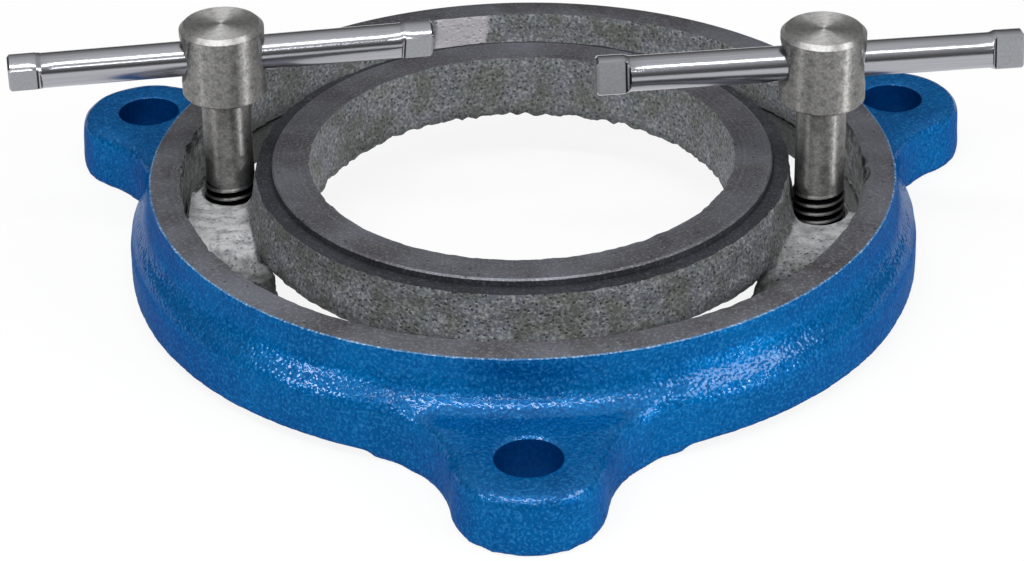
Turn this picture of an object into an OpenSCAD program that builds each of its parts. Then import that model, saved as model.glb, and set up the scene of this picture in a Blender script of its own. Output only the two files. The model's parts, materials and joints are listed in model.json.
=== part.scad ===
// Swivel base for a bench vice: a cast base ring that is bolted to the bench,
// a clamp ring that turns in it, and two clamp screws with sliding tommy bars.
// The origin is on the bench, below the base ring's centre, with +Z up.

/* [Base ring] */
// Height of the top face above the bench
base_height = 25.5; // [24:0.5:32]
// Height of the flange's underside above the bench
flange_lift = 2; // [1:0.5:3]
// Distance from the screws' centre lines to the opening in the lip
lip_reach = 10; // [9.5:0.5:14]
// Width of the machined top face
top_face_w = 7.5; // [6:0.5:12]
// Reach of the flange past the top face
flange_reach = 5; // [4:0.5:8]
// Height of the flange's upright wall above the bench
flange_wall_h = 14.2; // [13:0.1:15]
// Radius of the flange's upper edge
flange_edge_r = 2.2; // [1.5:0.1:3]
// Radius of the cove between the flange and the wall above it
cove_r = 5; // [4:0.5:7]
// Height of the lip's underside above the bench
lip_underside = 12; // [11:0.5:13]
// Depth of the recess below the lip
recess_w = 5.5; // [4.5:0.5:6]
// Size of the small bevels on machined edges
edge_break = 0.6; // [0.3:0.1:1]

/* [Bench lugs] */
// Number of bench lugs
lug_count = 3; // [3:1:4]
// Distance from the flange's wall to the bench bolts
bolt_reach = 14; // [10:0.5:24]
// Diameter of the bolt holes
bolt_hole_d = 14.5; // [10:0.5:18]
// Height of the lugs
lug_height = 14; // [12:0.5:14]
// Radius of a lug's round end at the bench
lug_end_r = 16.5; // [15:0.1:20]
// Radius of the hollow blends between a lug and the flange
lug_blend_r = 28; // [20:1:34]
// Depth to which the blends run into the flange
lug_blend_bite = 1.2; // [1:0.1:2]
// Radius of a lug's upper edge
lug_edge_r = 3; // [2:0.5:5]
// Draft angle of a lug's sides
lug_draft = 2; // [1:0.5:6]

/* [Clamp ring] */
// Turn of the clamp ring in the base, in degrees
ring_turn = -5.9; // [-30:0.1:30]
// Diameter of the bore at the top
boss_bore_d = 97; // [90:0.5:100]
// Loss of bore radius from the top to the underside
bore_taper = 1.2; // [0:0.1:2]
// Width of the machined boss face
boss_face_w = 8.4; // [6:0.1:12]
// Height of the boss face above the base ring
boss_rise = 2.8; // [2:0.1:6]
// Height of the step round the boss face
register_h = 1.7; // [1:0.1:2.5]
// Width of the ledge below the step
ledge_w = 3.5; // [2:0.1:5]
// Reach of the skirt's lower edge past the ledge
skirt_reach = 2.2; // [1.5:0.1:6]
// Height of the boss ring from its underside to the boss face
boss_depth = 15; // [13:0.5:17]
// Rounding bevel of the skirt's lower edge
skirt_edge = 1.2; // [0.5:0.1:2]
// Width of the rim that runs below the lip
rim_w = 5.1; // [4:0.1:6]
// Radial clearance of the rim in the recess
rim_clearance = 0.4; // [0.3:0.05:0.8]
// Clearance between the rim and the lip's underside
rim_gap = 0.3; // [0.2:0.05:0.6]
// Height of the rim's underside above the bench
rim_foot = 3; // [2.5:0.1:4]

/* [Screw ears] */
// Height of the ears' flat tops above the bench
ear_top = 16; // [15:0.5:18]
// Angle from a screw forward to the centre of its ear's round nose
ear_span = 14; // [8:1:24]
// Radius of the nose that rounds off an ear's front end
ear_nose_r = 20; // [14:1:26]
// Radius of the hollow between an ear and the skirt
ear_blend_r = 2.5; // [1.5:0.5:5]
// Radial clearance between an ear and the lip
ear_clearance = 0.8; // [0.5:0.1:1.5]
// Step from an ear's outer wall in to the top of its round back end
lobe_step = 2; // [1:0.1:2.4]
// Spread of the round back end from its top to its foot
lobe_spread = 3.5; // [2:0.1:4]

/* [Clamp screws] */
// Distance from the skirt's lower edge to the screws' centre lines
screw_reach = 4.9; // [4:0.1:8]
// Outer diameter of the thread
thread_d = 12; // [11:0.5:13]
// Length of the thread
thread_l = 15.5; // [13:0.5:17]
// Thread that shows above the left ear
left_thread_show = 3.9; // [3:0.1:9]
// Thread that shows above the right ear
right_thread_show = 6.8; // [3:0.1:9]
// Diameter of the plain neck
neck_d = 11.2; // [9:0.1:11.6]
// Length of the plain neck
neck_l = 22; // [15:0.1:30]
// Diameter of the head
head_d = 19.2; // [18:0.2:24]
// Height of the head
head_h = 17.2; // [16:0.1:24]
// Bevel of the head's top edge
head_bevel = 1; // [0.5:0.1:1.5]
// Bevel of the head's lower edge
head_foot_bevel = 0.6; // [0.3:0.1:1]
// Depth of the bar hole's axis below the head's top
bar_hole_drop = 8; // [7:0.1:10]
// Flare of the bar hole's mouths
mouth_flare = 1.75; // [1:0.05:2.5]
// Radial clearance of the thread in its hole
thread_clearance = 0.05; // [0.01:0.01:0.1]
// Bevel at both ends of the thread
thread_bevel = 1; // [0.6:0.1:1.5]

/* [Tommy bars] */
// Diameter of a bar
bar_d = 8; // [7:0.1:9]
// Length of a bar
bar_l = 96; // [80:0.5:120]
// Length of the pressed flats at the ends
flat_l = 6.3; // [4:0.1:9]
// Thickness across the flats
flat_t = 5; // [4:0.1:6]
// Width that the pressed ends gain over the bar
flat_spread = 0.9; // [0.6:0.1:2]
// Length of the shoulder between a flat and the round bar
shoulder_l = 1.2; // [0.8:0.1:4]
// Radial clearance of a bar in its hole
bar_clearance = 0.05; // [0.01:0.01:0.1]
// Bevel of a bar's end faces
bar_end_bevel = 0.5; // [0.2:0.1:0.8]
// Direction of the left bar, in degrees
left_bar_turn = 8.5; // [-45:0.5:45]
// Direction of the right bar, in degrees
right_bar_turn = 6; // [-45:0.5:45]
// Slide of the left bar from its middle
left_bar_shift = -0.3; // [-20:0.1:20]
// Slide of the right bar from its middle
right_bar_shift = -2.9; // [-20:0.1:20]
// Roll of the left bar about its own length, in degrees
left_flat_turn = 25; // [-90:1:90]
// Roll of the right bar about its own length, in degrees
right_flat_turn = -18; // [-90:1:90]

/* [Hidden] */
$fn = 96;
// Overrun of cutting tools past the faces that they cut
cut = 1;
// Straight steps in a rounded edge or cove
arc_steps = 5;

// Radii from the bore outwards
boss_bore_r = boss_bore_d / 2;
boss_face_r = boss_bore_r + boss_face_w;
ledge_r = boss_face_r + ledge_w;
skirt_r = ledge_r + skirt_reach;
screw_r = skirt_r + screw_reach;
lip_r = screw_r + lip_reach;
top_r = lip_r + top_face_w;
flange_r = top_r + flange_reach;
bolt_circle_r = flange_r + bolt_reach;
recess_r = lip_r + recess_w;
rim_out_r = recess_r - rim_clearance;
rim_in_r = rim_out_r - rim_w;
ear_out_r = lip_r - ear_clearance;

// Base ring
// The flange's edge and the cove are arcs that touch each other and both walls
ogee_reach = flange_edge_r + cove_r;
ogee_angle = acos(1 - (flange_r - top_r) / ogee_reach);
edge_centre = [flange_r - flange_edge_r, flange_wall_h];
cove_centre = edge_centre + ogee_reach * [cos(ogee_angle), sin(ogee_angle)];

// Bench lugs
// A blend's centre, from the triangle of the ring's centre, the bolt and the blend
blend_far = flange_r + lug_blend_r - lug_blend_bite;
blend_near = lug_end_r + lug_blend_r;
blend_angle = acos((pow(bolt_circle_r, 2) + pow(blend_far, 2) - pow(blend_near, 2))
    / (2 * bolt_circle_r * blend_far));
blend_centre = blend_far * [cos(blend_angle), sin(blend_angle)];
// Half the angle of the round end, which stops where it meets the blends
end_angle = atan2(blend_centre[1], blend_centre[0] - bolt_circle_r);
blend_root = (recess_r + flange_r) / 2 * [cos(blend_angle), sin(blend_angle)];
// Centre of the rounded upper edge, in from the foot of a drafted side
lug_edge_in = (lug_height - lug_edge_r) * tan(lug_draft) + lug_edge_r / cos(lug_draft);
// Radius of the core round a bolt hole, which joins the round end to the blends
lug_core_r = (bolt_hole_d / 2 + lug_end_r - lug_edge_in) / 2;

// Clamp ring
boss_top = base_height + boss_rise;
boss_under = boss_top - boss_depth;
ledge_z = boss_top - register_h;
rim_top = lip_underside - rim_gap;

// Screw ears
rim_mid_r = (rim_in_r + rim_out_r) / 2;
skirt_slope = (skirt_r - ledge_r) / (ledge_z - boss_under - skirt_edge);
ear_blend_z = ear_top + ear_blend_r;
ear_blend_centre = [ledge_r + (ledge_z - ear_blend_z) * skirt_slope + ear_blend_r, ear_blend_z];
// The nose's round passes a little above the flat top, so that they meet at an edge
ear_nose_z = ear_top + edge_break / 2 - ear_nose_r;
// Sweep of an ear before its nose is cut, with a degree to spare
ear_sweep = ear_span + asin(ear_nose_r / ledge_r) + 1;
lobe_top_r = ear_out_r - screw_r - lobe_step;
lobe_foot_r = lobe_top_r + lobe_spread;

// Clamp screws
thread_r = thread_d / 2;
neck_r = neck_d / 2;
head_r = head_d / 2;
bar_hole_z = head_h - bar_hole_drop;
left_head_z = ear_top + left_thread_show + neck_l;
right_head_z = ear_top + right_thread_show + neck_l;

// Tommy bars
bar_r = bar_d / 2;
bar_hole_r = bar_r + bar_clearance;
mouth_r = bar_hole_r + mouth_flare;
flat_w = bar_d + flat_spread;
bar_half = bar_l / 2;
flat_start = bar_half - flat_l;
shoulder_start = flat_start - shoulder_l;

// Points on an arc between two angles, without the last point
function arc(centre, radius, from, to) =
    [for (i = [0 : arc_steps - 1])
        let (a = from + i * (to - from) / arc_steps)
            centre + radius * [cos(a), sin(a)]];

// Section of a lug's side: drafted from its foot at zero, rounded at the top, running inwards
module lug_side(reach) {
    edge = [-lug_edge_in, lug_height - lug_edge_r];
    polygon(concat(
        [[0, 0]], arc(edge, lug_edge_r, lug_draft, 90),
        [[-lug_edge_in, lug_height], [-reach, lug_height], [-reach, 0]]
    ));
}

// One lug along +X: a core, a round end and a hollow blend into the flange on each side
module lug() {
    translate([bolt_circle_r, 0, 0]) {
        cylinder(r = lug_core_r, h = lug_height);
        rotate_extrude(angle = 2 * end_angle, start = -end_angle)
            translate([lug_end_r, 0]) lug_side(lug_end_r - lug_core_r / 2);
    }
    for (side = [0, 1])
        mirror([0, side, 0])
            intersection() {
                linear_extrude(lug_height)
                    polygon([[recess_r, 0], [bolt_circle_r, 0], blend_centre, blend_root]);
                translate(blend_centre)
                    rotate_extrude()
                        translate([lug_blend_r, 0]) mirror([1, 0]) lug_side(blend_near);
            }
}

// Section of the base ring before its recess is cut: machined top, cove and flange
module base_section() {
    polygon(concat(
        [[lip_r, flange_lift], [flange_r, flange_lift]],
        arc(edge_centre, flange_edge_r, 0, ogee_angle),
        arc(cove_centre, cove_r, ogee_angle + 180, 180),
        [
            [top_r, cove_centre[1]], [top_r, base_height - edge_break],
            [top_r - edge_break, base_height], [lip_r + edge_break, base_height],
            [lip_r, base_height - edge_break]
        ]
    ));
}

module base_ring() {
    color("royalblue")
        difference() {
            union() {
                rotate_extrude() base_section();
                for (i = [0 : lug_count - 1])
                    rotate(i * 360 / lug_count - 90) lug();
            }
            translate([0, 0, -cut]) cylinder(r = recess_r, h = lip_underside + cut);
            for (i = [0 : lug_count - 1])
                rotate(i * 360 / lug_count - 90)
                    translate([bolt_circle_r, 0, -cut])
                        cylinder(d = bolt_hole_d, h = lug_height + 2 * cut);
        }
}

// Section of the boss ring: tapered bore, boss face, step, ledge and drafted skirt
module boss_section() {
    polygon([
        [boss_bore_r - bore_taper, boss_under], [skirt_r - skirt_edge, boss_under],
        [skirt_r, boss_under + skirt_edge], [ledge_r, ledge_z], [boss_face_r, ledge_z],
        [boss_face_r, boss_top - edge_break], [boss_face_r - edge_break, boss_top],
        [boss_bore_r, boss_top]
    ]);
}

// Section of the rim that turns in the recess below the lip
module rim_section() {
    polygon([
        [rim_in_r, rim_foot], [rim_out_r - edge_break, rim_foot],
        [rim_out_r, rim_foot + edge_break], [rim_out_r, rim_top - edge_break],
        [rim_out_r - edge_break, rim_top], [rim_in_r, rim_top]
    ]);
}

// Section of an ear: from the boss ring down to the flat top, and under the lip to the rim
module ear_section() {
    difference() {
        polygon([
            [ledge_r, rim_foot], [rim_mid_r, rim_foot], [rim_mid_r, rim_top],
            [ear_out_r, rim_top], [ear_out_r, ear_top], [ear_blend_centre[0], ear_top],
            [ear_blend_centre[0] - ear_blend_r, ear_blend_z], [ledge_r, ear_blend_z]
        ]);
        translate(ear_blend_centre) circle(ear_blend_r);
    }
}

// The right ear: a round end behind the screw, and a round nose at the front
module ear() {
    reach = 2 * rim_out_r;
    intersection() {
        rotate_extrude(angle = ear_sweep, start = -ear_sweep) ear_section();
        rotate(-ear_span) {
            translate([0, 0, ear_nose_z]) rotate([0, 90, 0]) cylinder(r = ear_nose_r, h = reach);
            translate([0, 0, -cut]) cube([reach, reach, ear_blend_z + 2 * cut]);
        }
    }
    translate([screw_r, 0, rim_foot])
        cylinder(r1 = lobe_foot_r, r2 = lobe_top_r, h = ear_top - rim_foot);
}

module clamp_ring() {
    color("dimgray")
        rotate(ring_turn)
            difference() {
                union() {
                    rotate_extrude() boss_section();
                    rotate_extrude() rim_section();
                    for (side = [0, 1])
                        mirror([side, 0, 0]) ear();
                }
                for (side = [-1, 1])
                    translate([side * screw_r, 0, -cut])
                        cylinder(r = thread_r + thread_clearance, h = boss_top);
            }
}

// Places a screw or a bar on its own side of the clamp ring
module at_screw(side, turn, height) {
    rotate(ring_turn)
        translate([side * screw_r, 0, height])
            rotate(turn - ring_turn)
                children();
}

// A clamp screw, with its bar hole along X and its head's underside at zero
module clamp_screw() {
    thread_top = -neck_l;
    thread_end = thread_top - thread_l;
    difference() {
        rotate_extrude()
            polygon([
                [0, thread_end], [thread_r - thread_bevel, thread_end],
                [thread_r, thread_end + thread_bevel], [thread_r, thread_top - thread_bevel],
                [neck_r, thread_top], [neck_r, 0], [head_r - head_foot_bevel, 0],
                [head_r, head_foot_bevel], [head_r, head_h - head_bevel],
                [head_r - head_bevel, head_h], [0, head_h]
            ]);
        translate([0, 0, bar_hole_z])
            rotate([0, 90, 0]) {
                cylinder(r = bar_hole_r, h = 2 * head_r + 2 * cut, center = true);
                for (end = [0, 1])
                    mirror([0, 0, end])
                        translate([0, 0, head_r - mouth_r + bar_hole_r])
                            cylinder(r1 = bar_hole_r, r2 = mouth_r + cut,
                                h = mouth_r + cut - bar_hole_r);
            }
    }
}

// One end of a bar: the round bar spreads to the pressed flats over a sloping shoulder
module bar_end() {
    spread_r = flat_w / 2;
    intersection() {
        rotate([0, 90, 0])
            rotate_extrude()
                polygon([
                    [0, 0], [bar_r, 0], [bar_r, shoulder_start], [spread_r, flat_start],
                    [spread_r, bar_half - bar_end_bevel], [spread_r - bar_end_bevel, bar_half],
                    [0, bar_half]
                ]);
        linear_extrude(flat_w + cut, center = true)
            polygon([
                [0, -spread_r], [shoulder_start, -spread_r], [flat_start, -flat_t / 2],
                [bar_half, -flat_t / 2], [bar_half, flat_t / 2],
                [flat_start, flat_t / 2], [shoulder_start, spread_r], [0, spread_r]
            ]);
    }
}

// A tommy bar along X, with its flats upright
module tommy_bar() {
    for (end = [0, 1])
        mirror([end, 0, 0]) bar_end();
}

module left_clamp_screw() {
    color("lightslategray") at_screw(-1, left_bar_turn, left_head_z) clamp_screw();
}

module right_clamp_screw() {
    color("lightslategray") at_screw(1, right_bar_turn, right_head_z) clamp_screw();
}

module left_tommy_bar() {
    color("silver")
        at_screw(-1, left_bar_turn, left_head_z + bar_hole_z)
            translate([left_bar_shift, 0, 0]) rotate([left_flat_turn, 0, 0]) tommy_bar();
}

module right_tommy_bar() {
    color("silver")
        at_screw(1, right_bar_turn, right_head_z + bar_hole_z)
            translate([right_bar_shift, 0, 0]) rotate([right_flat_turn, 0, 0]) tommy_bar();
}

base_ring();
clamp_ring();
left_clamp_screw();
right_clamp_screw();
left_tommy_bar();
right_tommy_bar();
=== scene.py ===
import json
import math

import bmesh
import bpy
import numpy as np
from mathutils import Matrix, Vector, noise


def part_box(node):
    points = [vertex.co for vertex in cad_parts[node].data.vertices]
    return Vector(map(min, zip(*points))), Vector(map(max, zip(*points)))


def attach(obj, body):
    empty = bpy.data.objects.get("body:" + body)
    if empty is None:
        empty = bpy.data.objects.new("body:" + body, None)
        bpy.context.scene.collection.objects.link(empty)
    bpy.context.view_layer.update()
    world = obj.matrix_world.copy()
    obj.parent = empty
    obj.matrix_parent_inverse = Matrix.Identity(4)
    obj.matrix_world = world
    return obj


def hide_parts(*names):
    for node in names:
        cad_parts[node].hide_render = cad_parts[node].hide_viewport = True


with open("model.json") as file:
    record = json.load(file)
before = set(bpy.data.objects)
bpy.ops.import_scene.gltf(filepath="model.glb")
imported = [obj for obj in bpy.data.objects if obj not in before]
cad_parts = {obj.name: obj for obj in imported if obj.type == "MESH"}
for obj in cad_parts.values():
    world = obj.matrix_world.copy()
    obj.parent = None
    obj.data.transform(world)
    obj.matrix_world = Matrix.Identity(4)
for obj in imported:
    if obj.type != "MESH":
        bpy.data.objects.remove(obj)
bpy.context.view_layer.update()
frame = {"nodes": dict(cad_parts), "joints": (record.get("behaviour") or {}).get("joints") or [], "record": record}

# Swivel base for a bench vice: painted base casting, bare clamp ring that turns in it,
# and a pair of turned clamp screws with sliding bars. Sizes here are in millimetres.
mm = 0.001
joints = {joint["name"]: joint for joint in frame["joints"]}
scene = bpy.context.scene
scene.view_settings.view_transform = "Standard"


def linear(hexColour):
    channels = [int(hexColour[i:i + 2], 16) / 255 for i in (1, 3, 5)]
    return [c / 12.92 if c <= 0.04045 else ((c + 0.055) / 1.055) ** 2.4 for c in channels] + [1.0]


def perMm(size):  # texture scale for a pattern of this size
    return 1 / (size * mm)


def addNode(tree, kind, sockets, **settings):
    made = tree.nodes.new("ShaderNode" + kind)
    for name, value in settings.items():
        setattr(made, name, value)
    for socket, value in sockets.items():
        if isinstance(value, bpy.types.NodeSocket):
            tree.links.new(value, made.inputs[socket])
        else:
            made.inputs[socket].default_value = value
    return made


def newMaterial(name):
    material = bpy.data.materials.new(name)
    material.use_nodes = True
    material.node_tree.nodes.clear()
    return material, material.node_tree


mixFactor, mixA, mixB, mixOut = 0, 6, 7, 2  # the colour sockets of a Mix node


def blend(tree, share, first, second):
    mixed = addNode(tree, "Mix", {mixFactor: share, mixA: first, mixB: second}, data_type="RGBA")
    return mixed.outputs[mixOut]


def ramp(tree, value, low, high, toLow=0.0, toHigh=1.0):
    spread = addNode(tree, "MapRange", {"Value": value, "From Min": low, "From Max": high,
                                        "To Min": toLow, "To Max": toHigh})
    return spread.outputs["Result"]


def pattern(tree, place, size, detail):
    made = addNode(tree, "TexNoise", {"Vector": place, "Scale": perMm(size), "Detail": detail})
    return made.outputs["Fac"]


def product(tree, first, second):
    return addNode(tree, "Math", {0: first, 1: second}, operation="MULTIPLY").outputs["Value"]


def axisOf(tree, vector, axis):
    return addNode(tree, "SeparateXYZ", {"Vector": vector}).outputs[axis]


def raised(tree, height, depth, under=None, invert=False):
    sockets = {"Height": height, "Strength": 1.0, "Distance": depth * mm}
    if under:
        sockets["Normal"] = under
    return addNode(tree, "Bump", sockets, invert=invert).outputs["Normal"]


# Blue hammer enamel with aluminium flake under a thin clear film, sprayed on a sand casting: blue
# even in its reflections, and the sand's grain breaks the film's highlights into white sparkles.
enamelLook = {
    "thick": "#00508C", "thin": "#005C9A", "shade": "#00417A", "speck": "#2C80BE",
    "peelSize": 0.9, "peelDepth": 0.11, "waveSize": 5.0, "waveDepth": 0.1,
    "speckSize": 0.65, "speckShare": 0.6, "cloudSize": 16,
    "roughness": 0.36, "flake": 0.4, "edgeTint": "#0874A8",
    "film": 0.08, "shoulderFilm": 0.6, "shoulderTop": 17, "shoulderFade": 2, "filmRoughness": 0.07,
}
# the same paint in the bolt holes, drawn darker: painted shade inside the holes
holeShadeLook = {**enamelLook, "thick": "#003A78", "thin": "#003F80", "shade": "#003470", "speckShare": 0.1,
            "peelDepth": 0.03, "film": 0.03, "shoulderFilm": 0.03}
# and its torn edge round the machined face, drawn pale: chipped paint, and a painted highlight along the edge
edgeChipsAndHighlightLook = {**enamelLook, "thick": "#3C78AE", "thin": "#6494C0", "speck": "#C4D2E2", "speckShare": 0.9}


def makeEnamel(look, name):
    material, tree = newMaterial(name)
    place = addNode(tree, "TexCoord", {}).outputs["Object"]
    peel = addNode(tree, "TexVoronoi", {"Vector": place, "Scale": perMm(look["peelSize"]),
                                        "Smoothness": 0.6, "Randomness": 1.0}, feature="SMOOTH_F1")
    cloud = ramp(tree, pattern(tree, place, look["cloudSize"], 4.0), 0.35, 0.65)
    film = blend(tree, cloud, linear(look["thick"]), linear(look["thin"]))
    # painted shade: the valleys between the peel's cells take the darker shade colour
    valleyShade = ramp(tree, peel.outputs["Distance"], 0.45, 0.85, 0.0, 0.6)
    speck = ramp(tree, pattern(tree, place, look["speckSize"], 1.0), 0.48, 0.74, 0.0, look["speckShare"])
    colour = blend(tree, speck, blend(tree, valleyShade, film, linear(look["shade"])), linear(look["speck"]))
    swell = raised(tree, pattern(tree, place, look["waveSize"], 3.0), look["waveDepth"])
    grain = raised(tree, peel.outputs["Distance"], look["peelDepth"], swell, invert=True)
    # the clear film ran off the walls and stayed on the crest and the lugs' shoulders
    height = axisOf(tree, place, "Z")
    facing = axisOf(tree, addNode(tree, "NewGeometry", {}).outputs["Normal"], "Z")
    sloped = product(tree, ramp(tree, facing, 0.3, 0.65), ramp(tree, facing, 0.8, 1.0, 1.0, 0.35))
    top = look["shoulderTop"] * mm
    below = ramp(tree, height, top, top + look["shoulderFade"] * mm, 1.0, 0.0)
    gloss = ramp(tree, product(tree, sloped, below), 0, 1, look["film"], look["shoulderFilm"])
    shader = addNode(tree, "BsdfPrincipled", {
        "Base Color": colour, "Roughness": look["roughness"], "Metallic": look["flake"],
        "Specular IOR Level": 0.0, "Specular Tint": linear(look["edgeTint"]), "Normal": grain,
        "Coat Weight": gloss, "Coat Roughness": look["filmRoughness"], "Coat Normal": grain})
    addNode(tree, "OutputMaterial", {"Surface": shader.outputs["BSDF"]})
    return material


# Bare sand-cast grey iron: dull greenish grey, crumbly from the mould's sand, with dark pits
# and lighter crumbs where the skin is rubbed.
castLook = {
    "skin": "#5E635F", "cool": "#6D717A", "rubbed": "#B0B2B1", "shadeAndGrime": "#232625",
    "pit": "#2A3030", "ground": "#C6C2C8", "dustAndLight": "#D8D8DA",
    "pitSize": 1.1, "pitDepth": 0.22, "grainSize": 0.75, "grainDepth": 0.25,
    "lumpSize": 2.4, "lumpDepth": 0.35, "cloudSize": 7, "deep": 12, "open": 16.5,
    "roughness": 0.6, "metallic": 0.3,
}


def makeCastIron(look, name, groundPatch=None):
    material, tree = newMaterial(name)
    place = addNode(tree, "TexCoord", {}).outputs["Object"]
    pits = addNode(tree, "TexVoronoi", {"Vector": place, "Scale": perMm(look["pitSize"]),
                                        "Randomness": 1.0}, feature="F1")
    grain = pattern(tree, place, look["grainSize"], 2.0)
    cloud = pattern(tree, place, look["cloudSize"], 4.0)
    rub = product(tree, ramp(tree, grain, 0.45, 0.7), ramp(tree, cloud, 0.3, 0.7, 0.3, 0.9))
    lumps = pattern(tree, place, look["lumpSize"], 2.0)
    bare = blend(tree, ramp(tree, cloud, 0.4, 0.6), linear(look["skin"]), linear(look["cool"]))
    skin = blend(tree, rub, bare, linear(look["rubbed"]))
    axes = addNode(tree, "SeparateXYZ", {"Vector": place})
    # the level tops of the ears are drawn lighter: dust, and painted light on the tops
    facing = axisOf(tree, addNode(tree, "NewGeometry", {}).outputs["Normal"], "Z")
    aside = addNode(tree, "Math", {0: axes.outputs["Y"]}, operation="ABSOLUTE")
    onEars = product(tree, ramp(tree, axes.outputs["Z"], 18 * mm, 21 * mm, 1.0, 0.0),
                     ramp(tree, aside.outputs["Value"], 18 * mm, 32 * mm, 1.0, 0.0))
    litLevelTop = product(tree, ramp(tree, facing, 0.6, 1.0), onEars)
    dustedAndLit = product(tree, litLevelTop, ramp(tree, lumps, 0.3, 0.6, 0.4, 1.0))
    # painted shade: everything below the open height is drawn darker, most of all in the deep places
    shadeAndGrime = ramp(tree, axes.outputs["Z"], look["deep"] * mm, look["open"] * mm, 0.8, 0.0)
    shadedLow = blend(tree, shadeAndGrime, skin, linear(look["shadeAndGrime"]))
    dustedLitAndShaded = blend(tree, dustedAndLit, shadedLow, linear(look["dustAndLight"]))
    hole = product(tree, ramp(tree, pits.outputs["Distance"], 0.1, 0.36, 0.9, 0.0),
                   ramp(tree, dustedAndLit, 0, 1, 1.0, 0.3))
    colour = blend(tree, hole, dustedLitAndShaded, linear(look["pit"]))
    crumbs = raised(tree, grain, look["grainDepth"], raised(tree, lumps, look["lumpDepth"]))
    dents = raised(tree, hole, look["pitDepth"], crumbs, invert=True)
    if groundPatch:  # grime beside the screws, and a place on the inner wall that was ground bright
        beside = addNode(tree, "Math", {0: axes.outputs["X"]}, operation="ABSOLUTE")
        grime = product(tree, ramp(tree, beside.outputs["Value"], 62 * mm, 72 * mm),
                        ramp(tree, lumps, 0.42, 0.6, 0.0, 0.85))
        colour = blend(tree, grime, colour, linear(look["shadeAndGrime"]))
        turn = addNode(tree, "Math", {0: axes.outputs["Y"], 1: axes.outputs["X"]}, operation="ARCTAN2")
        ragged = addNode(tree, "Math", {0: cloud, 1: math.radians(3), 2: turn.outputs["Value"]},
                         operation="MULTIPLY_ADD")
        middle = math.radians(groundPatch["azimuth"] + 1.5)
        fromMiddle = addNode(tree, "Math", {0: ragged.outputs["Value"], 1: middle}, operation="SUBTRACT")
        off = addNode(tree, "Math", {0: fromMiddle.outputs["Value"]}, operation="ABSOLUTE")
        halfSpan, soft = math.radians(groundPatch["halfSpan"]), math.radians(0.4)
        patch = ramp(tree, off.outputs["Value"], halfSpan - soft, halfSpan + soft, 0.92, 0.0)
        colour = blend(tree, patch, colour, linear(look["ground"]))
    shader = addNode(tree, "BsdfPrincipled", {"Base Color": colour, "Roughness": look["roughness"],
                                              "Metallic": look["metallic"], "Normal": dents})
    addNode(tree, "OutputMaterial", {"Surface": shader.outputs["BSDF"]})
    return material


# Grey iron faced on a lathe: smooth and dark, with faint rings round the axis, oily stains,
# a fine speckle of open grain and a few pores.
facedLook = {
    "clean": "#767982", "stained": "#4C494B", "pore": "#242426", "fleck": "#A2A4AC",
    "ringSize": 0.7, "ringDepth": 0.006, "stainSize": 17, "poreSize": 3.0, "fleckSize": 0.6,
    "fleckDepth": 0.02, "roughness": 0.45, "metallic": 0.6,
}
# the ledge round the boss, drawn darker than the faced boss
ledgeLook = {**facedLook, "clean": "#43464D", "stained": "#2C2E33", "fleck": "#6E727C", "roughness": 0.6}


def makeFacedIron(look, name):
    material, tree = newMaterial(name)
    place = addNode(tree, "TexCoord", {}).outputs["Object"]
    axes = addNode(tree, "SeparateXYZ", {"Vector": place})
    flat = addNode(tree, "CombineXYZ", {"X": axes.outputs["X"], "Y": axes.outputs["Y"]})
    radius = addNode(tree, "VectorMath", {0: flat.outputs["Vector"]}, operation="LENGTH")
    # the tool's feed is finer than a pixel, so the rings are drawn wider
    rings = addNode(tree, "TexNoise", {"W": radius.outputs["Value"], "Scale": perMm(look["ringSize"]),
                                       "Detail": 2.0}, noise_dimensions="1D")
    stain = pattern(tree, place, look["stainSize"], 5.0)
    fleck = pattern(tree, place, look["fleckSize"], 2.0)
    pores = addNode(tree, "TexVoronoi", {"Vector": place, "Scale": perMm(look["poreSize"])}, feature="F1")
    mixed = addNode(tree, "Math", {0: rings.outputs["Fac"], 1: 0.2, 2: stain}, operation="MULTIPLY_ADD")
    skin = blend(tree, ramp(tree, mixed.outputs["Value"], 0.4, 0.8),
                 linear(look["stained"]), linear(look["clean"]))
    flecked = blend(tree, ramp(tree, fleck, 0.5, 0.75, 0.0, 0.5), skin, linear(look["fleck"]))
    pore = ramp(tree, pores.outputs["Distance"], 0.06, 0.14, 0.8, 0.0)
    colour = blend(tree, pore, flecked, linear(look["pore"]))
    cut = raised(tree, rings.outputs["Fac"], look["ringDepth"])
    grainy = raised(tree, fleck, look["fleckDepth"], cut)
    shader = addNode(tree, "BsdfPrincipled", {"Base Color": colour, "Roughness": look["roughness"],
                                              "Metallic": look["metallic"], "Normal": grainy})
    addNode(tree, "OutputMaterial", {"Surface": shader.outputs["BSDF"]})
    return material


# Mild steel turned on a lathe and left to dull: highlights stretched across the tool rings,
# a fine mottled skin, and black oil in the thread's grooves.
turnedLook = {
    "bright": "#A29F9D", "dull": "#828482", "stain": "#505552", "oil": "#0B0D0C",
    "mottleSize": 0.6, "stainSize": 1.6, "mottleDepth": 0.01, "roughness": 0.45, "anisotropy": 0.9,
}
# the head's top, drawn paler than the sides: painted light on the top face
headTopLightLook = {**turnedLook, "bright": "#D4D2D0", "dull": "#BCBDBC", "stain": "#9A9C9A"}


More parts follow.
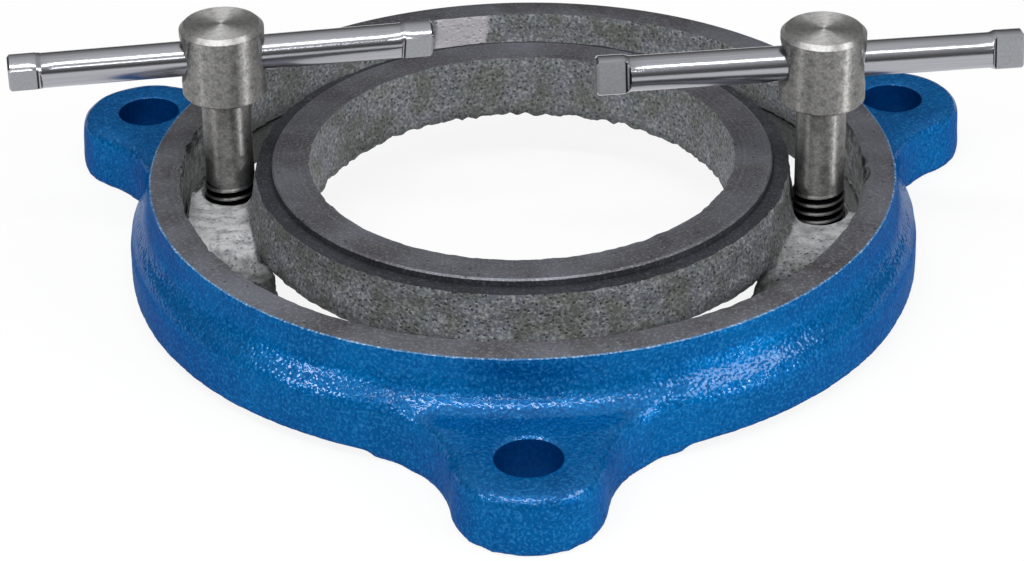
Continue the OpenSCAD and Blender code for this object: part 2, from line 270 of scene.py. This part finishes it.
def makeTurnedSteel(look, name):
    material, tree = newMaterial(name)
    place = addNode(tree, "TexCoord", {}).outputs["Object"]
    mottle = pattern(tree, place, look["mottleSize"], 3.0)
    skin = blend(tree, ramp(tree, mottle, 0.35, 0.65), linear(look["dull"]), linear(look["bright"]))
    patches = ramp(tree, pattern(tree, place, look["stainSize"], 4.0), 0.48, 0.72, 0.0, 0.6)
    stained = blend(tree, patches, skin, linear(look["stain"]))
    groove = addNode(tree, "Attribute", {}, attribute_name="groove")
    colour = blend(tree, groove.outputs["Fac"], stained, linear(look["oil"]))
    lay = addNode(tree, "Tangent", {}, direction_type="RADIAL", axis="Z")
    shader = addNode(tree, "BsdfPrincipled", {
        "Base Color": colour, "Roughness": look["roughness"], "Metallic": 1.0,
        "Anisotropic": look["anisotropy"], "Anisotropic Rotation": 0.25,
        "Normal": raised(tree, mottle, look["mottleDepth"]), "Tangent": lay.outputs["Tangent"]})
    addNode(tree, "OutputMaterial", {"Surface": shader.outputs["BSDF"]})
    return material


# Bright drawn steel bar: smooth satin gloss with faint lines along its length from the die.
drawnLook = {
    "bright": "#B9B9BF", "dull": "#989AA0", "lineSize": 0.5, "lineStretch": 60, "lineDepth": 0.004,
    "roughness": 0.2,
}
# The bar's pressed flats and sheared ends: paler and duller than the drawn skin.
pressedLook = {
    "bright": "#ACAEB2", "dull": "#8C8F94", "lineSize": 0.6, "lineStretch": 1, "lineDepth": 0.01,
    "roughness": 0.42,
}
# painted shade in the corners of the flats' shoulders
shoulderShadeLook = {**pressedLook, "bright": "#2E3034", "dull": "#1A1B1E"}


def makeSteel(look, name):
    material, tree = newMaterial(name)
    place = addNode(tree, "TexCoord", {}).outputs["Object"]
    along = addNode(tree, "Mapping", {"Vector": place, "Scale": (1 / look["lineStretch"], 1, 1)})
    lines = pattern(tree, along.outputs["Vector"], look["lineSize"], 2.0)
    colour = blend(tree, lines, linear(look["dull"]), linear(look["bright"]))
    shader = addNode(tree, "BsdfPrincipled", {
        "Base Color": colour, "Roughness": look["roughness"], "Metallic": 1.0,
        "Normal": raised(tree, lines, look["lineDepth"])})
    addNode(tree, "OutputMaterial", {"Surface": shader.outputs["BSDF"]})
    return material


def newObject(name, mesh, materials):
    made = bpy.data.objects.new(name, mesh)
    scene.collection.objects.link(made)
    for material in materials:
        mesh.materials.append(material)
    return made


def applied(source):  # the mesh with its modifiers
    graph = bpy.context.evaluated_depsgraph_get()
    return bpy.data.meshes.new_from_object(source.evaluated_get(graph))


def shadeSmooth(mesh, degrees):
    mesh.polygons.foreach_set("use_smooth", [True] * len(mesh.polygons))
    mesh.set_sharp_from_angle(angle=math.radians(degrees))


def turned(bm, outline, segments, centre=(0, 0), shape=None):
    # adds a solid turned from an outline of (radius, height, material index)
    rings = []
    for radius, height, slot in outline:
        ring = []
        for i in range(segments):
            angle = 2 * math.pi * i / segments
            r, z = shape(radius, height, angle) if shape else (radius, height)
            x, y = centre[0] + r * math.cos(angle), centre[1] + r * math.sin(angle)
            ring.append(bm.verts.new((x * mm, y * mm, z * mm)))
        rings.append(ring)
    for k, first in enumerate(rings):
        following = (k + 1) % len(rings)
        if outline[k][0] == 0 and outline[following][0] == 0:
            continue
        second = rings[following]
        for i in range(segments):
            j = (i + 1) % segments
            bm.faces.new((first[i], first[j], second[j], second[i])).material_index = outline[k][2]


def finished(bm, name):
    bmesh.ops.remove_doubles(bm, verts=bm.verts, dist=1e-7)
    bmesh.ops.recalc_face_normals(bm, faces=bm.faces)
    mesh = bpy.data.meshes.new(name)
    bm.to_mesh(mesh)
    bm.free()
    return mesh


def cutAway(piece, cutters):
    # machines the piece with cutters of exact shape
    tool = newObject(piece.name + "Tool", cutters, [])
    cut = piece.modifiers.new("Machining", "BOOLEAN")
    cut.operation, cut.solver, cut.object = "DIFFERENCE", "MANIFOLD", tool
    machined = applied(piece)
    piece.modifiers.clear()
    piece.data = machined
    bpy.data.objects.remove(tool)


def castBlank(node, settings, plugs, fillers=()):
    # the solid with stock on its machined faces and its holes and corners filled,
    # as even quads with soft edges
    bm = bmesh.new()
    bm.from_mesh(frame["nodes"][node].data)
    bmesh.ops.remove_doubles(bm, verts=bm.verts, dist=1e-6)
    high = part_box(node)[1]
    for vert in bm.verts:
        if vert.co.z > high.z - settings["stockDepth"] * mm:
            vert.co.z += settings["stock"] * mm
            radius = math.hypot(vert.co.x, vert.co.y)
            if settings["stockFrom"] * mm < radius < settings["stockTo"] * mm:
                vert.co.xy *= 1 + settings["stockOut"] * mm / radius
    for x, y, radius, lowZ, highZ in plugs:
        bmesh.ops.create_cone(bm, cap_ends=True, cap_tris=True, segments=48, radius1=radius * mm,
                              radius2=radius * mm, depth=(highZ - lowZ) * mm,
                              matrix=Matrix.Translation(Vector((x, y, (lowZ + highZ) / 2)) * mm))
    for corners in fillers:
        bmesh.ops.convex_hull(bm, input=[bm.verts.new(Vector(corner) * mm) for corner in corners])
    mesh = bpy.data.meshes.new(node + "Blank")
    bm.to_mesh(mesh)
    bm.free()
    blank = newObject(node + "Blank", mesh, [])
    remesh = blank.modifiers.new("Even quads", "REMESH")
    remesh.mode = "VOXEL"
    remesh.voxel_size = settings["quad"] * mm
    soften = blank.modifiers.new("Soft edges", "SMOOTH")
    soften.factor = 0.5
    soften.iterations = settings["softening"]
    cast = applied(blank)
    bpy.data.objects.remove(blank)
    return cast


def meshArrays(mesh):
    points = np.zeros(len(mesh.vertices) * 3, np.float32)
    normals = np.zeros(len(mesh.vertices) * 3, np.float32)
    mesh.vertices.foreach_get("co", points)
    mesh.vertex_normals.foreach_get("vector", normals)
    return points.reshape(-1, 3).astype(float) / mm, normals.reshape(-1, 3).astype(float)


def sandNoise(points, size, octaves):
    return np.array([noise.fractal(Vector(p) / size, 1.0, 2.0, octaves) for p in points])


def relaxed(mesh, points, share, rounds):
    # evens out the points where the share is above zero
    ends = np.zeros(len(mesh.edges) * 2, np.int32)
    mesh.edges.foreach_get("vertices", ends)
    first, second = ends.reshape(-1, 2).T
    start, end = np.concatenate((first, second)), np.concatenate((second, first))
    near = share[start] > 0
    start, end = start[near], end[near]
    count = np.maximum(np.bincount(start, minlength=len(points)), 1)
    for _ in range(rounds):
        sums = [np.bincount(start, points[end, k], len(points)) for k in range(3)]
        middle = np.stack([total / count for total in sums], axis=1)
        points = points + (middle - points) * share[:, None]
    return points


# Base casting
baseSettings = {
    "quad": 0.8, "softening": 4,
    "stock": 1.2, "stockDepth": 0.1, "stockFrom": 0, "stockTo": 0, "stockOut": 0,
    "waveSize": 6.0, "waveDepth": 0.1, "lipRadius": 77.5, "bareRadius": 79.5, "lipUnderside": 12.0,
    "topRadius": 85.0, "paintEdge": 0.55, "recessRadius": 84.0, "flangeRadius": 90.0, "rootReach": 4.0,
    "rootRounds": 12, "edgeReach": 9.0, "edgeRounds": 6, "footReach": 4.0, "footRounds": 8,
    "crest": (88.7, 16.3), "crestReach": 5.5, "crestRounds": 40, "crestDrop": 1.0,
    "rootWedge": [(86, 27, 15.0), (90.2, 21, 14.8), (99, 12, 13.9)],  # reach, half width and height
    "lugTop": 14.0, "boltRadius": 7.25, "holeBreak": 0.4,
    # azimuth, drop below the top face and size of each chip in the lip's edge
    "chips": [(179.2, 0.2, 1.7), (171.7, 0.6, 1.2), (166.9, 1.0, 1.1), (-4.9, 0.2, 1.7),
              (-0.7, 0.4, 1.1), (-6.9, 0.7, 1.1), (208.0, 0.1, 0.9), (216.0, 0.1, 0.8), (-37.0, 0.1, 0.6)],
    "groundPatch": {"azimuth": 100.5, "halfSpan": 4.7},
}


def makeBaseRing(settings, materials):
    bolts = frame["record"]["mounts"][0]["dims"]
    angles = [math.pi * (2 * i / bolts["count"] - 0.5) for i in range(bolts["count"])]
    reach = bolts["pcd_mm"] / 2
    places = [(reach * math.cos(angle), reach * math.sin(angle)) for angle in angles]
    bolt = settings["boltRadius"]
    plugs = [(x, y, bolt + 1, 0.5, settings["lugTop"] - 0.5) for x, y in places]
    fillers = []
    for angle in angles:  # each lug rises to the flange's crest at its root
        along = Vector((math.cos(angle), math.sin(angle), 0))
        across = Vector((-math.sin(angle), math.cos(angle), 0))
        fillers.append([along * out + across * (width * sign) + Vector((0, 0, height))
                        for out, width, top in settings["rootWedge"] for sign in (-1, 1)
                        for height in (settings["lugTop"] - 6, top)])
    mesh = castBlank("base_ring", settings, plugs, fillers)
    points, normals = meshArrays(mesh)
    low, high = (corner.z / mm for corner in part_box("base_ring"))
    radius = np.hypot(points[:, 0], points[:, 1])
    # the lugs' tops run into the flange with a wide fillet, and their edges are soft
    aboveRoot = points[:, 2] - settings["lugTop"]
    fromRoot = np.hypot(radius - settings["flangeRadius"], aboveRoot)
    beyond = radius > settings["flangeRadius"] - 0.3
    root = np.clip(1.2 - fromRoot / settings["rootReach"], 0, 0.7) * beyond
    points = relaxed(mesh, points, root, settings["rootRounds"])
    fromCrest = np.hypot(radius - settings["crest"][0], points[:, 2] - settings["crest"][1])
    crest = np.clip(1.2 - fromCrest / settings["crestReach"], 0, 0.7)
    points = relaxed(mesh, points, crest, settings["crestRounds"])
    points[:, 2] -= settings["crestDrop"] * np.clip(1.3 - fromCrest / settings["crestReach"], 0, 1)
    onLug = radius > settings["flangeRadius"] + 1
    edges = np.clip(1.2 - np.abs(aboveRoot) / settings["edgeReach"], 0, 0.7) * onLug
    points = relaxed(mesh, points, edges, settings["edgeRounds"])
    outside = radius > settings["topRadius"]
    foot = np.clip(1 - (points[:, 2] - low) / settings["footReach"], 0, 0.6) * outside
    points = relaxed(mesh, points, foot, settings["footRounds"])
    rough = sandNoise(points, settings["waveSize"], 3) * settings["waveDepth"]
    above = points[:, 2] > settings["lipUnderside"] + 0.6
    rough[(radius < settings["recessRadius"]) & ~above] = 0  # the clamp ring's rim turns here
    onLip = (radius < settings["bareRadius"]) & above
    rough[onLip] = -4 * np.abs(rough[onLip])
    points += normals * rough[:, None]
    outward = points * [1, 1, 0] / np.maximum(radius, 1)[:, None]
    for azimuth, drop, size in settings["chips"]:
        angle = math.radians(azimuth)
        centre = np.array([settings["lipRadius"] * math.cos(angle),
                           settings["lipRadius"] * math.sin(angle), high - drop])
        distance = np.linalg.norm(points - centre, axis=1)
        pull = np.clip(1 - distance / (size * 1.5), 0, 1) ** 0.5 * size * 0.8
        points += (outward - [0, 0, 0.4]) * (pull * onLip)[:, None]
    points[:, 2] = np.maximum(points[:, 2], low)
    mesh.vertices.foreach_set("co", (points * mm).astype(np.float32).ravel())
    piece = newObject("baseRing", mesh, materials)
    # the lathe faces the top and leaves an edge of paint, and a drill opens the bolt holes
    tools = bmesh.new()
    rim, edge = settings["topRadius"], settings["paintEdge"]
    # the chamfer takes slot 4, the pale torn edge with a painted highlight
    turned(tools, [(60, high, 1), (rim - edge, high, 4), (rim + edge, high - edge, 0),
                   (rim + 2, high - edge, 0), (rim + 2, high + 5, 0), (60, high + 5, 0)], 360)
    drillFoot, top, bevel = low - 1, settings["lugTop"], settings["holeBreak"]
    for place in places:
        # the drill's walls take slot 3, the enamel with painted shade
        turned(tools, [(0, drillFoot, 3), (bolt, drillFoot, 3), (bolt, top - bevel, 0),
                       (bolt + bevel + 2, top + 2, 0), (0, top + 2, 0)], 96, place)
    cutAway(piece, finished(tools, "baseTools"))
    for face in piece.data.polygons:
        if face.material_index == 0 and math.hypot(*face.center[:2]) < settings["bareRadius"] * mm:
            face.material_index = 2
    shadeSmooth(piece.data, 40)
    return piece


# Clamp ring casting
clampSettings = {
    "quad": 0.72, "softening": 3,
    "stock": 1.4, "stockDepth": 2.0, "stockFrom": 52, "stockTo": 58.5, "stockOut": 1.4,
    "waveSize": 4.0, "waveDepth": 0.4, "rimRadius": 75.5, "rimTop": 13.0,
    "faceRadius": 56.9, "faceBreak": 0.4, "step": 1.7, "ledgeReach": 66.0, "ledgeRough": 0.1,
    "holeRadius": 6.2, "mouthFlare": 0.7, "drillTop": 23.0,
    "boreRadius": 52.0, "edgeWave": 0.9, "edgeWaveSize": 2.6, "edgeDepth": 4.0,
}


def makeClampRing(settings, materials):
    seats = [[v / mm for v in joints[side + "_screw_turn"]["pos_m"]] for side in ("left", "right")]
    low, high = (corner.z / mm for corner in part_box("clamp_ring"))
    plugs = [(x, y, settings["holeRadius"] + 0.4, low, top) for x, y, top in seats]
    mesh = castBlank("clamp_ring", settings, plugs)
    points, normals = meshArrays(mesh)
    radius = np.hypot(points[:, 0], points[:, 1])
    rough = sandNoise(points, settings["waveSize"], 3) * settings["waveDepth"]
    outer = radius > settings["rimRadius"]
    rough[outer & (points[:, 2] < settings["rimTop"])] = 0  # the rim runs in the base
    rough[outer] = -np.abs(rough[outer])
    points += normals * rough[:, None]
    inBore = radius < settings["boreRadius"]
    lowest = points[inBore, 2].min()
    near = inBore * np.clip(1 - (points[:, 2] - lowest) / settings["edgeDepth"], 0, 1)
    points[:, 2] += sandNoise(points, settings["edgeWaveSize"], 2) * settings["edgeWave"] * near
    mesh.vertices.foreach_set("co", (points * mm).astype(np.float32).ravel())
    piece = newObject("clampRing", mesh, materials)
    # the lathe faces the boss and cuts the step round it, and the ledge below stays rough
    face, bevel, ledge = settings["faceRadius"], settings["faceBreak"], high - settings["step"]
    reach = settings["ledgeReach"]
    count = round((reach - face) / settings["quad"])
    outline = [(40, high, 1), (face - bevel, high, 1), (face, high - bevel, 2), (face, ledge - 0.15, 2)]
    outline += [(face + 0.4 + (reach - face - 0.4) * i / count, ledge, 2) for i in range(count + 1)]
    outline += [(reach, high + 4, 0), (40, high + 4, 0)]

    def roughLedge(r, z, angle):
        if z != ledge:
            return r, z
        spot = Vector((r * math.cos(angle), r * math.sin(angle), 0)) / 2
        return r, z + settings["ledgeRough"] * noise.fractal(spot, 1.0, 2.0, 2)

    tools = bmesh.new()
    turned(tools, outline, 480, shape=roughLedge)
    hole, flare = settings["holeRadius"], settings["mouthFlare"]
    for x, y, top in seats:
        turned(tools, [(0, low - 1, 0), (hole, low - 1, 0), (hole, top - flare, 0), (hole + flare, top, 0),
                       (hole + flare, settings["drillTop"], 0), (0, settings["drillTop"], 0)], 96, (x, y))
    cutAway(piece, finished(tools, "clampTools"))
    shadeSmooth(piece.data, 40)
    return piece


# Clamp screws
screwSettings = {
    "segments": 144, "threadRadius": 5.95, "threadLength": 15.5, "pitch": 2.1, "threadDepth": 1.1,
    "rowsPerPitch": 24, "endBevel": 1.0, "runOut": 1.4, "crestShare": 0.2, "neckRadius": 5.6,
    "headHeight": 17.2, "topBevel": 1.0, "footBevel": 0.6, "fillet": 0.7,
    "holeRadius": 4.05, "mouthRadius": 5.8,
    "crest": {"left": 16.88, "right": 17.96},  # height of a crest at the front
}


def screwOutline(settings, total, head):
    # from the thread's end at zero to the head's top
    thread, neck = settings["threadRadius"], settings["neckRadius"]
    length, fillet, bevel = settings["threadLength"], settings["fillet"], settings["footBevel"]
    headFoot = total - settings["headHeight"]
    headTop = total - settings["topBevel"]
    rows = [(0, 0, 0)]
    steps = int(length / settings["pitch"] * settings["rowsPerPitch"])
    for i in range(steps + 1):
        z = length * i / steps
        down = max(0, 1 - (length - z) / settings["runOut"])
        start = max(0, settings["endBevel"] - z)
        rows.append((thread - start + (neck - thread) * down, z, 0))
    for i in range(1, 10):
        rows.append((neck, length + (headFoot - fillet - length) * i / 9, 0))
    for i in range(1, 6):
        turn = math.pi / 2 * i / 5
        rows.append((neck + fillet * (1 - math.cos(turn)), headFoot - fillet * (1 - math.sin(turn)), 0))
    for i in range(1, 5):
        rows.append((neck + fillet + (head - bevel - neck - fillet) * i / 4, headFoot, 0))
    # the head's top bevel and face take the second material, drawn paler as painted light
    for i in range(16):
        rows.append((head, headFoot + bevel + (headTop - headFoot - bevel) * i / 15, i // 15))
    for i in range(12, -1, -1):
        rows.append(((head - settings["topBevel"]) * i / 12, total, 1))
    return rows


def makeClampScrew(side, settings, materials):
    low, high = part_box(side + "_clamp_screw")
    head = (high.x - low.x) / 2 / mm
    seat = joints[side + "_screw_turn"]["pos_m"]
    crest = settings["crest"][side] - low.z / mm
    length, pitch = settings["threadLength"], settings["pitch"]
    flat = settings["crestShare"] / 2

    def threadCut(radius, z, angle):
        if radius == 0 or z > length:
            return 0
        fade = min(1, z / settings["endBevel"], (length - z) / settings["runOut"])
        turns = (z - crest) / pitch - (angle + math.pi / 2) / (2 * math.pi)
        fromCrest = abs(turns - round(turns))
        return settings["threadDepth"] * fade * min(1, max(0, (fromCrest - flat) / (0.38 - flat)))

    bm = bmesh.new()
    turned(bm, screwOutline(settings, (high.z - low.z) / mm, head), settings["segments"],
           shape=lambda radius, z, angle: (radius - threadCut(radius, z, angle), z))
    mesh = finished(bm, side + "ClampScrew")
    groove = mesh.attributes.new("groove", "FLOAT", "POINT")
    for vert in mesh.vertices:
        x, y, z = vert.co / mm
        cut = threadCut(1, z, math.atan2(y, x)) if z <= length else 0
        groove.data[vert.index].value = min(1, max(0, cut / settings["threadDepth"] * 4 - 0.4))
    screw = newObject(side + "ClampScrew", mesh, materials)
    # cross hole with flared mouths, along the bar
    hole, grow = settings["holeRadius"], settings["mouthRadius"] + 1
    reach = head + 1
    drill = bmesh.new()
    turned(drill, [(0, -reach, 0), (grow, -reach, 0), (hole, -reach + grow - hole, 0),
                   (hole, reach - grow + hole, 0), (grow, reach, 0), (0, reach, 0)], 64)
    axis = joints[side + "_bar_slide"]["axis"]
    barLow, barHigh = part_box(side + "_tommy_bar")
    lay = (Matrix.Translation((0, 0, (barLow.z + barHigh.z) / 2 - low.z))
           @ Matrix.Rotation(math.atan2(axis[1], axis[0]), 4, "Z") @ Matrix.Rotation(math.pi / 2, 4, "Y"))
    bmesh.ops.transform(drill, matrix=lay, verts=drill.verts)
    cutAway(screw, finished(drill, "drill"))
    screw.location = (seat[0], seat[1], low.z)
    shadeSmooth(screw.data, 32)
    return screw


# Tommy bars
barSettings = {
    "segments": 96, "radius": 4.0, "length": 96.0, "flatLength": 6.3, "flatThickness": 5.0,
    "flatWidth": 8.9, "shoulder": 1.2, "endBevel": 0.5,
    "roll": {"left": 28.0, "right": -8.0},
    "shoulderRows": 10, "shadedRows": (0, 1, 2, 6, 7, 8, 9),  # painted shade in both corners of the shoulder
}


def barStation(settings, fromMiddle):
    # radius and half thickness of the bar at a distance from its middle
    flatStart = settings["length"] / 2 - settings["flatLength"]
    share = min(1, max(0, (fromMiddle - flatStart + settings["shoulder"]) / settings["shoulder"]))
    spread = settings["flatWidth"] / 2
    radius = settings["radius"] + (spread - settings["radius"]) * share
    hollow = math.sqrt(1 - (1 - share) ** 2)  # the die's edge leaves a steep, hollow shoulder
    return radius, spread + (settings["flatThickness"] / 2 - spread) * hollow


def barSlot(settings, fromMiddle):
    # material on the pressed side: bare flat, corner with painted shade, or drawn skin
    pastShoulder = fromMiddle - settings["length"] / 2 + settings["flatLength"]
    if pastShoulder > 0:
        return 1
    row = math.floor((pastShoulder / settings["shoulder"] + 1) * settings["shoulderRows"])
    return 2 if row in settings["shadedRows"] else 0


def makeTommyBar(side, settings, materials):
    half, bevel, count = settings["length"] / 2, settings["endBevel"], settings["segments"]
    flatStart = half - settings["flatLength"]
    shoulderStart = flatStart - settings["shoulder"]
    stations = [shoulderStart * i / 12 for i in range(13)]
    step = settings["shoulder"] / settings["shoulderRows"]
    stations += [shoulderStart + step * i for i in range(1, settings["shoulderRows"] + 1)]
    stations += [flatStart + (settings["flatLength"] - bevel) * i / 4 for i in range(1, 5)]
    rows = [(-half, bevel)] + [(-x, 0) for x in reversed(stations[1:])] + [(x, 0) for x in stations]
    rows.append((half, bevel))
    bm = bmesh.new()
    rings = []
    for x, inset in rows:
        radius, thick = barStation(settings, min(abs(x), half - bevel))
        ring = []
        for i in range(count):
            angle = 2 * math.pi * i / count
            r = min(radius - inset, (thick - inset) / max(1e-6, abs(math.sin(angle))))
            ring.append(bm.verts.new((x * mm, r * mm * math.sin(angle), r * mm * math.cos(angle))))
        rings.append(ring)
    for k, (first, second) in enumerate(zip(rings, rings[1:])):
        middle = abs(rows[k][0] + rows[k + 1][0]) / 2
        radius, thick = barStation(settings, min(middle, half - bevel))
        slot = barSlot(settings, middle)
        for i in range(count):
            j = (i + 1) % count
            onFlat = radius * abs(math.sin(2 * math.pi * (i + 0.5) / count)) > thick
            strip = bm.faces.new((first[i], second[i], second[j], first[j]))
            strip.material_index = slot if onFlat else 0
    for ring, x in ((rings[0], -half), (rings[-1], half)):
        middle = bm.verts.new((x * mm, 0, 0))
        for i in range(count):
            bm.faces.new((middle, ring[i], ring[(i + 1) % count])).material_index = 1
    bar = newObject(side + "TommyBar", finished(bm, side + "TommyBar"), materials)
    low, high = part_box(side + "_tommy_bar")
    axis = joints[side + "_bar_slide"]["axis"]
    bar.matrix_world = (Matrix.Translation((low + high) / 2)
                        @ Matrix.Rotation(math.atan2(axis[1], axis[0]), 4, "Z")
                        @ Matrix.Rotation(math.radians(settings["roll"][side]), 4, "X"))
    shadeSmooth(bar.data, 28)
    return bar


def install(piece, body, node):
    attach(piece, body)
    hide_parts(node)
    print(piece.name, "ready:", len(piece.data.polygons), "faces")


enamel = makeEnamel(enamelLook, "Blue hammer enamel")
holeEnamelShaded = makeEnamel(holeShadeLook, "Blue hammer enamel with painted shade in holes")
edgeEnamelWithHighlight = makeEnamel(edgeChipsAndHighlightLook, "Torn edge of the enamel with painted highlight")
castIron = makeCastIron(castLook, "Sand-cast grey iron")
lipIron = makeCastIron(castLook, "Sand-cast grey iron with a ground patch", baseSettings["groundPatch"])
facedIron = makeFacedIron(facedLook, "Faced grey iron")
ledgeIron = makeFacedIron(ledgeLook, "Faced grey iron, darker on the ledge")
turnedSteel = makeTurnedSteel(turnedLook, "Turned mild steel")
headTopLitSteel = makeTurnedSteel(headTopLightLook, "Mild steel with painted light on the head's top")
drawnSteel = makeSteel(drawnLook, "Bright drawn steel")
pressedSteel = makeSteel(pressedLook, "Pressed steel")
shoulderShadeSteel = makeSteel(shoulderShadeLook, "Pressed steel with painted shade in the shoulder")
print("materials ready")

baseRing = makeBaseRing(baseSettings, [enamel, facedIron, lipIron, holeEnamelShaded, edgeEnamelWithHighlight])
install(baseRing, "base", "base_ring")
clampRing = makeClampRing(clampSettings, [castIron, facedIron, ledgeIron])
install(clampRing, "turntable", "clamp_ring")
for side in ("left", "right"):
    screw = makeClampScrew(side, screwSettings, [turnedSteel, headTopLitSteel])
    install(screw, side + "_screw", side + "_clamp_screw")
    bar = makeTommyBar(side, barSettings, [drawnSteel, pressedSteel, shoulderShadeSteel])
    install(bar, side + "_bar", side + "_tommy_bar")

# Studio: white paper floor under a soft dome that is bright overhead, a long key lamp, a front strip,
# a fill from the right and a strip at each side
studio = {
    "floorSize": 6.0, "floorColour": "#F4F4F4", "floorGlow": 0.88,
    "domeLow": 0.07, "domeRise": 0.78, "domePower": 2.0,
    # name: place, size, watts
    "lamps": {
        "key": ((-0.1, -0.45, 0.95), (1.1, 0.08), 5.4),
        "frontStrip": ((-0.25, -0.8, 0.68), (0.9, 0.03), 1.7),
        "rightFill": ((0.8, -0.45, 0.5), (0.6, 0.2), 3.0),
        "rightStrip": ((0.95, -0.55, 0.08), (0.08, 0.16), 2.2),
        "leftStrip": ((-0.92, -0.5, 0.45), (0.25, 0.12), 2.0),
    },
    "aim": (0, 0, 0.02),
}


def anyRay(tree, *kinds):  # 1 where the ray is of one of these kinds
    paths = addNode(tree, "LightPath", {})
    found = paths.outputs[kinds[0]]
    for kind in kinds[1:]:
        either = addNode(tree, "Math", {0: found, 1: paths.outputs[kind]}, operation="MAXIMUM")
        found = either.outputs["Value"]
    return found


far = studio["floorSize"] / 2
paper = bpy.data.meshes.new("studioFloor")
paper.from_pydata([(-far, -far, 0), (far, -far, 0), (far, far, 0), (-far, far, 0)], [], [(0, 1, 2, 3)])
floorPaint, floorTree = newMaterial("White studio paper")
seen = anyRay(floorTree, "Is Camera Ray", "Is Glossy Ray", "Is Transmission Ray")
matt = addNode(floorTree, "BsdfDiffuse", {"Color": linear(studio["floorColour"])})
glow = addNode(floorTree, "Emission", {"Color": (1, 1, 1, 1), "Strength": 1.0})
both = addNode(floorTree, "MixShader", {0: ramp(floorTree, seen, 0, 1, 0.0, studio["floorGlow"]),
                                        1: matt.outputs["BSDF"], 2: glow.outputs["Emission"]})
addNode(floorTree, "OutputMaterial", {"Surface": both.outputs["Shader"]})
newObject("studioFloor", paper, [floorPaint])

scene.world = bpy.data.worlds.new("Studio room")
scene.world.use_nodes = True
room = scene.world.node_tree
room.nodes.clear()
direction = addNode(room, "SeparateXYZ", {"Vector": addNode(room, "TexCoord", {}).outputs["Generated"]})
rise = addNode(room, "Math", {0: direction.outputs["Z"], 1: 0.0}, operation="MAXIMUM")
overhead = addNode(room, "Math", {0: rise.outputs["Value"], 1: studio["domePower"]}, operation="POWER")
dome = addNode(room, "Math", {0: overhead.outputs["Value"], 1: studio["domeRise"], 2: studio["domeLow"]},
               operation="MULTIPLY_ADD")
seenSky = anyRay(room, "Is Camera Ray", "Is Transmission Ray")
sky = addNode(room, "Math", {0: dome.outputs["Value"], 1: seenSky}, operation="MAXIMUM")
walls = addNode(room, "Background", {"Color": (1, 1, 1, 1), "Strength": sky.outputs["Value"]})
addNode(room, "OutputWorld", {"Surface": walls.outputs["Background"]})

for name, (place, size, watts) in studio["lamps"].items():
    lamp = bpy.data.lights.new(name, "AREA")
    lamp.shape = "RECTANGLE"
    lamp.size, lamp.size_y = size
    lamp.energy = watts
    box = bpy.data.objects.new(name, lamp)
    scene.collection.objects.link(box)
    box.location = place
    box.rotation_euler = (Vector(studio["aim"]) - Vector(place)).to_track_quat("-Z", "Y").to_euler()

# Camera: fitted to the ellipses of the top face, the bore and the lugs
cameraSettings = {
    "place": (-2.765, -698.541, 403.539), "elevation": 30.331, "roll": -1.021,
    "lens": 122.45, "sensor": 36.0,
}
lift, roll = math.radians(cameraSettings["elevation"]), math.radians(cameraSettings["roll"])
back = Vector((0, -math.cos(lift), math.sin(lift)))
flatRight, flatUp = Vector((1, 0, 0)), Vector((0, math.sin(lift), math.cos(lift)))
right = flatRight * math.cos(roll) + flatUp * math.sin(roll)
up = flatUp * math.cos(roll) - flatRight * math.sin(roll)
camera = bpy.data.objects.new("camera", bpy.data.cameras.new("camera"))
scene.collection.objects.link(camera)
camera.data.lens = cameraSettings["lens"]
camera.data.sensor_width = cameraSettings["sensor"]
camera.data.clip_start = 0.01
camera.matrix_world = (Matrix.Translation(Vector(cameraSettings["place"]) * mm)
                       @ Matrix((right, up, back)).transposed().to_4x4())
scene.camera = camera
print("studio ready")
